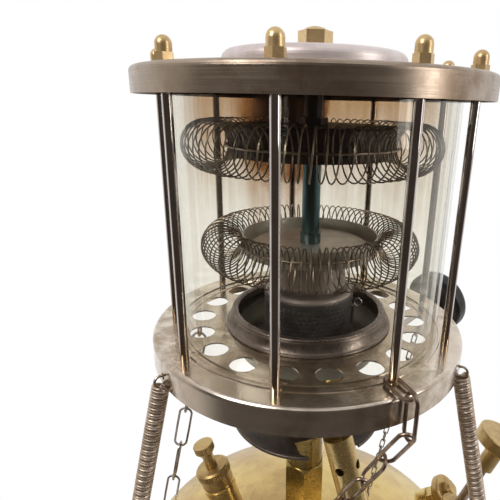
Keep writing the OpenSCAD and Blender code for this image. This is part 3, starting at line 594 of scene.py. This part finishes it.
for name, curls, seed in (("upper_coil", 76, 3.0), ("lower_coil", 84, 8.0)):
    low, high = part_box(name)
    curl_r = (high.z - low.z) / 2 - SOLID_WIRE / 2
    ring_r = (high.x - low.x) / 2 - curl_r - SOLID_WIRE / 2
    sizes = {"Centre": (AX, AY, (low.z + high.z) / 2), "Ring": ring_r - 0.0002, "Curl": curl_r * 0.985,
             "Curls": curls, "Steps": 24, "Wire": COIL_WIRE, "Unrest": 0.045, "Seed": seed}
    mesh = run_tree(name, wound_ring, sizes, coil_steel)
    piece(name + "_wire", mesh, coil_steel, stands_for=[name])

# %% [markdown]
# ## Pull springs
# Three springs hold the tower down on the tank. Each is wound so closely that its turns almost touch, and its
# wire leaves the last turn, crosses to the middle and ends in a hook. That whole way is one path, so it is
# written as a list of points: lower hook, turns, upper hook. A tree then lays a round wire on it.

# %% A tree that lays a wire on the path it is given
wire_on_path, size = new_tree("wire_on_path", {"Wire": 0.001, "Sides": 8})
maker = wire_on_path
maker.tree.interface.new_socket("Path", in_out="INPUT", socket_type="NodeSocketGeometry")
maker.tree.interface.move(maker.tree.interface.items_tree["Path"], 0)
entry = next(n for n in maker.tree.nodes if n.type == "GROUP_INPUT")
line = maker.add("GeometryNodeMeshToCurve", None, {0: Socket(maker, entry.outputs["Path"])})
end_tree(maker, tube(maker, line, size["Wire"], size["Sides"], caps=True), size["Finish"])
told(maker)

# %% [markdown]
# A spring could be drawn by hand as a curve, but its wire has to run from the turns into the hooks without a
# kink. So each stretch is one formula: a helix between the two ends, an arc for each hook, and between them a
# short way that swells to the side and comes down on the arc.

# %% The path of one spring
SPRING_R, SPRING_WIRE, PITCH, STEPS = 0.0044, 0.0016, 0.0016 * 1.11, 14
HOOK_R, HOOK_SINK = 0.0034, 0.0006

def spring_path(foot, head):
    """Points in the plane of one spring: x outwards, z up, y across, in metres."""
    across, way = Vector((0, 1, 0)), head - foot
    along = way.normalized()
    side = across.cross(along).normalized()
    count = int(way.length / PITCH) * STEPS
    body = []
    for k in range(count + 1):
        a = 2 * math.pi * k / STEPS
        centre = foot + along * (SPRING_WIRE / 2 + k / count * (way.length - SPRING_WIRE))
        body.append(centre + (side * math.cos(a) + across * math.sin(a)) * SPRING_R)

    def hook(end, sign, start):
        """From the outermost turn to the middle, with a swell to the side, and round the hook."""
        centre = end + Vector((0, 0, sign * (HOOK_R - HOOK_SINK)))
        angles = [math.radians(250) * k / 16 for k in range(17)]
        bend = [centre + HOOK_R * Vector((math.sin(b), 0, -sign * math.cos(b))) for b in angles]
        leave = []
        for t in (0.15, 0.3, 0.45, 0.6, 0.75, 0.9):
            swell = math.sin(math.pi * t)
            bulge = across * SPRING_R * 0.9 * swell + along * sign * 0.0006 * swell
            leave.append(start.lerp(bend[0], t) + bulge)
        return leave + bend

    return hook(foot, -1, body[0])[::-1] + body + hook(head, 1, body[-1])

print("spring path ready")

# %% [markdown]
# All three springs are alike, a third of a turn apart. Each runs from an ear on a leg up to a hole in the
# tray's rim, so the path is written once, turned three times, and all three go to the tree together.

# %% Three springs round the tower
EAR = Vector((0.1389, 0, 0.092))
RIM_HOLE = Vector((0.1016, 0, TRAY - 0.0159))

paths = bmesh.new()
for degrees in (-144, -24, 96):
    turn = Matrix.Translation((AX, AY, 0)) @ Matrix.Rotation(math.radians(degrees), 4, "Z")
    row = [paths.verts.new(turn @ q) for q in spring_path(EAR, RIM_HOLE)]
    for one, two in zip(row, row[1:]):
        paths.edges.new((one, two))
mesh = run_tree("pull_springs", wire_on_path, {"Wire": SPRING_WIRE, "Sides": 8}, spring_steel, start=paths)
piece("pull_springs", mesh, spring_steel, stands_for=["tension_springs"])

# %% [markdown]
# ## Chains
# A chain is one link, copied along a line, with every second copy turned a quarter. The link is a circle
# whose two halves are pulled apart, and the tree does both steps. Its inputs are the sizes that a chain is
# sold by: length, width and wire.

# %% A tree that hangs links along a line
chain_run, size = new_tree("chain_run", {
    "First": (0.0, 0.0, 0.0), "Last": (0.0, 0.0, 0.0), "Links": 6, "Length": 0.03, "Width": 0.01,
    "Wire": 0.002, "Tilt": (0.0, 0.0, 0.0), "Start turn": 0.0})
maker = chain_run
bend = (size["Width"] - size["Wire"]) * 0.5
ring = maker.add("GeometryNodeCurvePrimitiveCircle", None, {"Resolution": 28, "Radius": bend})
px, py, pz = coordinates(maker)
pull = py.math("SIGN", py) * py.abs().above(0.00001) * (size["Length"] - size["Width"]) * 0.5
ring = maker.add("GeometryNodeSetPosition", None, {0: ring, "Position": maker.vector(px, 0.0, py + pull)})
link = tube(maker, ring, size["Wire"], 9)
ends = {"Count": size["Links"], "Start Location": size["First"], "Offset": size["Last"]}
line = maker.add("GeometryNodeMeshLine", {"mode": "END_POINTS"}, ends)
links = maker.add("GeometryNodeInstanceOnPoints", None, {0: line, "Instance": link, "Rotation": size["Tilt"]})
quarter = size["Start turn"] + maker.add("GeometryNodeInputIndex").mod(2.0) * (math.pi / 2)
turned = {0: links, "Rotation": maker.vector(0.0, 0.0, quarter), "Local Space": True}
end_tree(maker, maker.add("GeometryNodeRotateInstances", None, turned), size["Finish"])
told(maker)

# %% [markdown]
# A chain could be left to a rope simulation, but these are short and hang almost straight. So a run of links
# needs only its two ends and a number of links. Each link is two wires longer than the spacing, and a little
# more, so that it hooks into the next one.

# %% Hang one run of links between two points
def spot(x, y, z):
    """A point given in millimetres from the tower's axis and from the floor."""
    return Vector((AX + x / MM, AY + y / MM, z / MM))

def run(start, end, links, width, wire, degrees, finish, length=None):
    """Links from start to end, the first turned by so many degrees; they just hook into one another."""
    way = end - start
    tilt = (0.0, math.acos(way.z / way.length), math.atan2(way.y, way.x))
    sizes = {"First": tuple(start + way / (2 * links)), "Last": tuple(end - way / (2 * links)),
             "Links": links, "Length": length or way.length / links + 2 * wire + 0.0002, "Width": width,
             "Wire": wire, "Tilt": tilt, "Start turn": math.radians(degrees)}
    return run_tree("links", chain_run, sizes, finish)

def joined(meshes):
    mesh = bmesh.new()
    for one in meshes:
        mesh.from_mesh(one)
    data = bpy.data.meshes.new("joined")
    mesh.to_mesh(data)
    mesh.free()
    return data

print("chain runs ready")

# %% [markdown]
# The heavy chain starts with a ring that lies on the tray round the foot of one cage rod. One long link hangs
# from it over the tray's rim, and six more lead down to the tank. The two light chains hang under the tray.

# %% Hang the three chains
ROD_SIDE, WIRE = -66, 0.0022
out = Vector((math.cos(math.radians(ROD_SIDE)), math.sin(math.radians(ROD_SIDE)), 0))
rod_foot = spot(44.65, -77.336, 0)
ring_at = rod_foot + out * 0.00655 + Vector((0, 0, (T + 2.1) / MM))
rim_at = rod_foot + out * 0.0172
hang = (T - 20.2) / MM
low, high = (rim_at + Vector((0, 0, hang + rise)) for rise in (0, 0.0246))
joint = rim_at + Vector((0, 0, hang + 0.0013))
heavy = [run(ring_at - out * 0.01, ring_at + out * 0.01, 1, 0.0102, WIRE, 90, chain_steel, length=0.0235),
         run(low, high, 1, 0.0108, WIRE, ROD_SIDE, chain_steel, length=0.029),
         run(joint, spot(-3, -39, 106.29), 6, 0.0108, WIRE, -45, chain_steel)]
piece("heavy_chain_links", joined(heavy), chain_steel, stands_for=["heavy_chain"])
light = run(spot(-70.7, -12, T - 7.9), spot(-108, -12, 77.53), 6, 0.010, 0.0016, 0, pale_chain_steel)
piece("light_chain_links", light, pale_chain_steel, stands_for=["light_chain"])
fine = run(spot(70.2, -12, T - 4.5), spot(43, -12, 102.61), 26, 0.0038, 0.0009, 0, pale_chain_steel)
piece("fine_chain_links", fine, pale_chain_steel, stands_for=["fine_chain"])

# %% [markdown]
# ## The perforated burner drum
# Gas burns at the many small holes round the drum. Cutting each hole with a boolean is slow and leaves a poor
# mesh. A tree starts from a sheet of square cells instead: it insets each cell, drops the inner face, bends
# the sheet round, closes its seam, and lets subdivision turn the square holes into round ones.

# %% A tree that makes a sleeve with rows of holes
perforated_sleeve, size = new_tree("perforated_sleeve", {
    "Centre": (0.0, 0.0, 0.0), "Radius": 0.03, "Height": 0.03, "Round": 48, "Rows": 12,
    "Low row": 4.0, "High row": 10.0, "Hole": 0.5})
maker = perforated_sleeve
cells = {"Size X": 1.0, "Size Y": 1.0, "Vertices X": size["Round"] + 1, "Vertices Y": size["Rows"] + 1}
grid = maker.add("GeometryNodeMeshGrid", None, cells)
inset = {0: grid, "Offset Scale": 0.0, "Individual": True}
outs = maker.add("GeometryNodeExtrudeMesh", {"mode": "FACES"}, inset).link.node.outputs
sheet, inner = Socket(maker, outs["Mesh"]), Socket(maker, outs["Top"])
shrunk = {0: sheet, "Selection": inner, "Scale": size["Hole"]}
sheet = maker.add("GeometryNodeScaleElements", {"domain": "FACE"}, shrunk)
px, py, pz = coordinates(maker)
px, py = px + 0.5, py + 0.5
row = py * size["Rows"]
drop = inner * row.above(size["Low row"]) * (1 - row.above(size["High row"]))
sheet = maker.add("GeometryNodeDeleteGeometry", {"domain": "FACE"}, {0: sheet, "Selection": drop})
turn = (px + row * 0.5 / size["Round"]) * (2 * math.pi)
bent = maker.vector(turn.cos() * size["Radius"], turn.sin() * size["Radius"], py * size["Height"])
sheet = maker.add("GeometryNodeSetPosition", None, {0: sheet, "Position": bent})
sheet = maker.add("GeometryNodeMergeByDistance", None, {0: sheet, "Distance": 0.00001})
sheet = maker.add("GeometryNodeSubdivisionSurface", None, {0: sheet, "Level": 2})
px, py, pz = coordinates(maker)
grow = size["Radius"] / (px * px + py * py).sqrt()
place = shifted(maker, maker.vector(px * grow, py * grow, pz), size["Centre"])
end_tree(maker, maker.add("GeometryNodeSetPosition", None, {0: sheet, "Position": place}), size["Finish"])
told(maker)

# %% [markdown]
# The tree makes a sheet without thickness. A Solidify modifier adds the thickness last, because it also
# closes the edge of every hole. The drum's floor is a flat ring from the lathe, open where the pipe comes in.

# %% Bend the drum's wall and give it a thickness and a floor
DRUM_SHEET, PIPE_HOLE, FLOOR_SHEET = 0.8, 6.6, 0.9

low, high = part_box("burner_drum")
drum_r = (high.x - low.x) / 2
sizes = {"Centre": (AX, AY, low.z), "Radius": drum_r - 0.0001, "Height": high.z - low.z, "Round": 54,
         "Rows": 12, "Low row": 5.0, "High row": 11.0, "Hole": 0.5}
mesh = run_tree("drum_wall", perforated_sleeve, sizes, drum_steel)
wall = piece("drum_wall", mesh, drum_steel, stands_for=["burner_drum"])
thick = wall.modifiers.new("sheet", "SOLIDIFY")
thick.thickness, thick.offset = DRUM_SHEET / MM, -1.0
z, edge = low.z * MM, drum_r * MM - FLOOR_SHEET
disc = lathe([(PIPE_HOLE, z), (edge, z), (edge, z + FLOOR_SHEET), (PIPE_HOLE, z + FLOOR_SHEET)])
piece("drum_floor", disc, drum_steel, stands_for=["burner_drum"])

# %% [markdown]
# The collar on the tray is a spun ring: a rolled bead, a wall that leans inwards, and a lip at its foot. Its
# solid has a few straight steps, and a mirror-like surface would show each of them. So its outline is written
# as smooth curves here, and the bowl that hangs in the tray's opening gets the same treatment. Each outline
# is a list of (radius, height) points in millimetres, and T is the tray's height.

# %% Two kinds of curve for an outline
def bow(p, q, sag, steps=10):
    """Points from p to q on a curve that sags sideways, towards the left of the way."""
    dr, dz = q[0] - p[0], q[1] - p[1]
    points = []
    for k in range(steps + 1):
        t = k / steps
        deep = sag * 4 * t * (1 - t)
        points.append((p[0] + dr * t - dz * deep, p[1] + dz * t + dr * deep))
    return points

def oval(centre, wide, tall, start, stop, steps):
    """Points on an ellipse, from one angle to another in degrees."""
    angles = [math.radians(start + (stop - start) * k / steps) for k in range(steps + 1)]
    return [(centre[0] + wide * math.cos(a), centre[1] + tall * math.sin(a)) for a in angles]

print("a bow of 4 steps:", bow((0, 0), (4, 0), 0.25, 4))

# %% [markdown]
# With these two curves the collar takes four stretches and a corner, and the bowl's outside takes a flange
# and two stretches. The bowl's inside is the same outline moved in and up by the thickness of the sheet.

# %% Smooth collar and bowl
lip = oval((53.5, T + 0.95), 0.85, 0.85, -60, 80, 8)
bead = oval((48.4, T + 8.9), 2.2, 1.4, -25, 205, 16)
outer = bow((53.2, T + 2.0), (50.9, T + 7.4), 0.05)
inner = bow((46.6, T + 7.4), (50.6, T + 1.2), -0.08)
collar = lathe(lip + outer + bead + inner + [(51.4, T + 0.1)], 256)
piece("collar_ring", collar, collar_steel, stands_for=["tray_collar"])

flange = [(50.4, T + 0.1), (45.9, T + 0.1)]
below = bow((45.9, T - 1), (45.6, T - 19), 0.01, 4) + bow((45.5, T - 20), (31.0, T - 25.5), -0.26)
above = [(r - 0.5, z + 0.7) for r, z in reversed(below)]
bowl = lathe(flange + below + above + [(45.2, T + 0.8), (50.4, T + 0.8)])
piece("burner_bowl_sheet", bowl, bowl_steel, stands_for=["burner_bowl"])

# %% [markdown]
# ## Camera, light and floor
# The camera stands where the photograph was taken from: some 30 cm from the tower's axis, a little below the
# level of the top plate, looking down. So near, the front looks larger than the back, and the lens has to be
# wide. Its place was found from the rims, rods and nuts, whose sizes are those of the solid model. The focal
# length and the point that the lens looks at are given in pixels of a picture that is 500 pixels wide.

# %% Camera
WIDE, SENSOR = 500, 36.0
FOCAL, CENTRE = 466.25, (308.37, 259.47)
STAND = Vector((AX, AY - 0.28632, TRAY + 0.13679))
yaw, pitch, roll = -0.003, 0.321, 0.025

camera = bpy.data.objects.new("camera", bpy.data.cameras.new("camera"))
bpy.context.scene.collection.objects.link(camera)
bpy.context.scene.camera = camera
camera.data.sensor_width = SENSOR
camera.data.lens = FOCAL / WIDE * SENSOR
camera.data.shift_x = (WIDE / 2 - CENTRE[0]) / WIDE
camera.data.shift_y = (CENTRE[1] - WIDE / 2) / WIDE
camera.data.clip_start = 0.01
level = math.cos(pitch)
forward = Vector((math.sin(yaw) * level, math.cos(yaw) * level, -math.sin(pitch)))
right = Vector((math.cos(yaw), -math.sin(yaw), 0))
up = right.cross(forward)
right, up = right * math.cos(roll) + up * math.sin(roll), up * math.cos(roll) - right * math.sin(roll)
turned = Matrix((right, up, -forward)).transposed().to_4x4()
camera.matrix_world = Matrix.Translation(STAND) @ turned
print("camera at", [round(v, 4) for v in camera.matrix_world.translation], "lens", round(camera.data.lens, 2))

# %% [markdown]
# Metal shows its surroundings, so the surroundings are half of its look. Behind the stove all is white, as a
# paper backdrop would be, for the camera, for reflections and through the glass. The room on the camera's
# side is dimmer and warm, which draws the dark streaks on rods and rims.

# %% World
WHITE, GREY, SHADE, CEILING = (1.0, 1.0, 1.0), (0.62, 0.58, 0.53), (0.055, 0.042, 0.034), (0.8, 0.79, 0.78)

world = bpy.data.worlds.new("studio")
bpy.context.scene.world = world
world.use_nodes = True
sky = Maker(world.node_tree)
sky.tree.nodes.clear()
way = sky.add("ShaderNodeTexCoord", None, None, out="Generated")
outs = sky.add("ShaderNodeSeparateXYZ", None, {0: way}).link.node.outputs
back, high = Socket(sky, outs["Y"]), Socket(sky, outs["Z"])
room = sky.mix(back.ease(-0.42, -0.05), SHADE, GREY)
room = sky.mix(back.ease(-0.1, 0.35), room, WHITE)
room = sky.mix(high.ease(0.45, 0.9), room, CEILING)
ray = sky.add("ShaderNodeLightPath").link.node.outputs
seen = Socket(sky, ray["Is Camera Ray"]).most(Socket(sky, ray["Is Transmission Ray"]))
light = sky.add("ShaderNodeBackground", None, {0: sky.mix(seen, room, WHITE), 1: 1.0})
sky.add("ShaderNodeOutputWorld", None, {0: light})
print("world ready")

# %% [markdown]
# Two large soft lamps do the rest: a key from the upper left and a weaker one from the right. A large lamp
# makes a broad highlight on round metal and a soft shadow on the floor.

# %% Lamps
AIM = Vector((0, 0, 0.28))
LAMPLIGHT = (1.0, 0.98, 0.95)

def lamp(name, place, width, height, watts):
    data = bpy.data.lights.new(name, "AREA")
    data.shape, data.size, data.size_y = "RECTANGLE", width, height
    data.energy, data.color = watts, LAMPLIGHT
    obj = bpy.data.objects.new(name, data)
    bpy.context.scene.collection.objects.link(obj)
    facing = (AIM - place).to_track_quat("-Z", "Y").to_matrix().to_4x4()
    obj.matrix_world = Matrix.Translation(place) @ facing

lamp("key", Vector((-0.9, -0.9, 1.3)), 0.7, 0.7, 14)
lamp("fill", Vector((1.1, -0.5, 0.7)), 0.35, 0.9, 5)
print("lamps:", len(bpy.data.lights))

# %% [markdown]
# The floor is a plain pale sheet. To the camera it is as white as the backdrop, apart from the soft shadow
# that it keeps, and for all other rays it is an ordinary pale surface.

# %% Floor
sheet = bmesh.new()
bmesh.ops.create_circle(sheet, cap_ends=True, segments=96, radius=0.28)
mesh = bpy.data.meshes.new("floor")
sheet.to_mesh(mesh)
sheet.free()
floor = bpy.data.objects.new("floor", mesh)
bpy.context.scene.collection.objects.link(floor)
f = Finish("floor_paper")
pale = f.add("ShaderNodeBsdfDiffuse", None, {0: (0.86, 0.86, 0.86)})
glow = f.add("ShaderNodeEmission", None, {0: WHITE, 1: 1.06})
seen = Socket(f, f.add("ShaderNodeLightPath").link.node.outputs["Is Camera Ray"])
mesh.materials.append(f.end(f.blend(seen * 0.85, pale, glow)))
print("floor ready")

# %% Finish
bpy.context.scene.view_settings.view_transform = "Standard"
